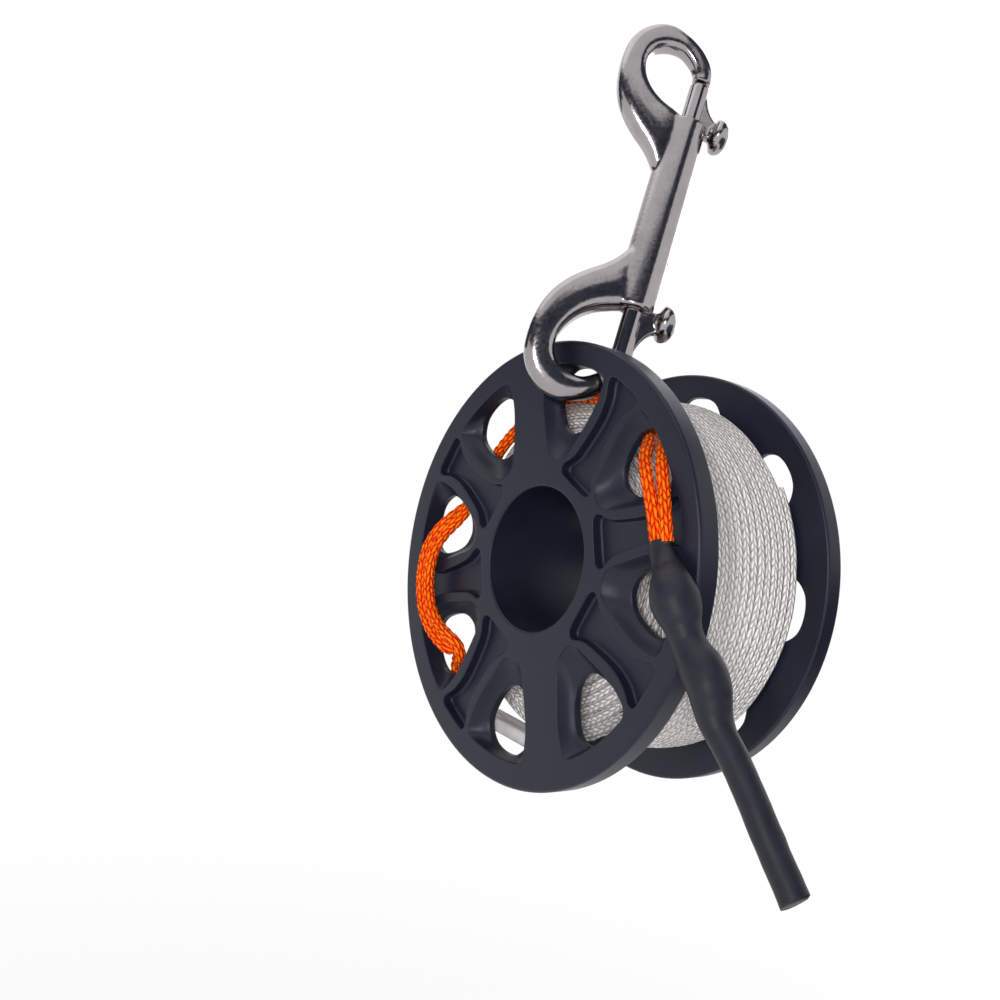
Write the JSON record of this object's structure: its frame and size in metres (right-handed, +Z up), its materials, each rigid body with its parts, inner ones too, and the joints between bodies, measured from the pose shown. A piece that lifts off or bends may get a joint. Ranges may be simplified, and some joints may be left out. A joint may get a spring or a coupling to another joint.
{
  "type": "dive reel",
  "caption": "Finger spool for divers, wound with line between two flanges with rim holes, an orange leader laced through them, hung on a double-ended bolt snap.",
  "frame": {"origin": "where the snap's upper eye bears on what it hangs from", "axes": "+Z up, +Y along the spool from the front flange to the rear flange, +X to the right seen from the front"},
  "size_m": [0.1348, 0.0574, 0.1753],
  "materials": {
    "spool_plastic": "satin moulded plastic, dark grey",
    "snap_steel": "polished stainless steel",
    "spring_steel": "bright spring wire",
    "white_line": "braided white line",
    "orange_cord": "coarsely braided orange cord",
    "shrink_sleeve": "matte heat-shrunk sleeve",
    "connector_plate": "pale translucent plastic"
  },
  "bodies": {
    "snap": {"snap_body": "snap_steel", "upper_spring": "spring_steel", "lower_spring": "spring_steel"},
    "upper_bolt": {"upper_bolt": "snap_steel", "upper_thumb_knob": "snap_steel"},
    "lower_bolt": {"lower_bolt": "snap_steel", "lower_thumb_knob": "snap_steel"},
    "reel": {"front_flange": "spool_plastic", "rear_flange": "spool_plastic", "hub_tube": "spool_plastic", "line_core": "white_line", "line_winding": "white_line", "line_tail": "white_line", "line_loop": "white_line", "line_end_sleeve": "shrink_sleeve", "connector": "connector_plate", "leader_knot": "orange_cord", "leader_strand_inner": "orange_cord", "leader_strand_outer": "orange_cord", "leader_sleeve": "shrink_sleeve"}
  },
  "joints": [
    {"name": "reel_swing", "type": "hinge", "parent": "snap", "child": "reel", "pos_m": [0.01477, -0.01915, -0.08346], "axis": [0, 1, 0], "range_deg": [-8, 8]},
    {"name": "upper_bolt_slide", "type": "slide", "parent": "snap", "child": "upper_bolt", "axis": [0.146, -0.227, -0.9629], "range_m": [0, 0.012], "stiffness_N_per_m": 200, "springref_m": -0.01, "deforming": ["upper_spring"]},
    {"name": "lower_bolt_slide", "type": "slide", "parent": "snap", "child": "lower_bolt", "axis": [-0.146, 0.227, 0.9629], "range_m": [0, 0.012], "stiffness_N_per_m": 200, "springref_m": -0.01, "deforming": ["lower_spring"]}
  ]
}
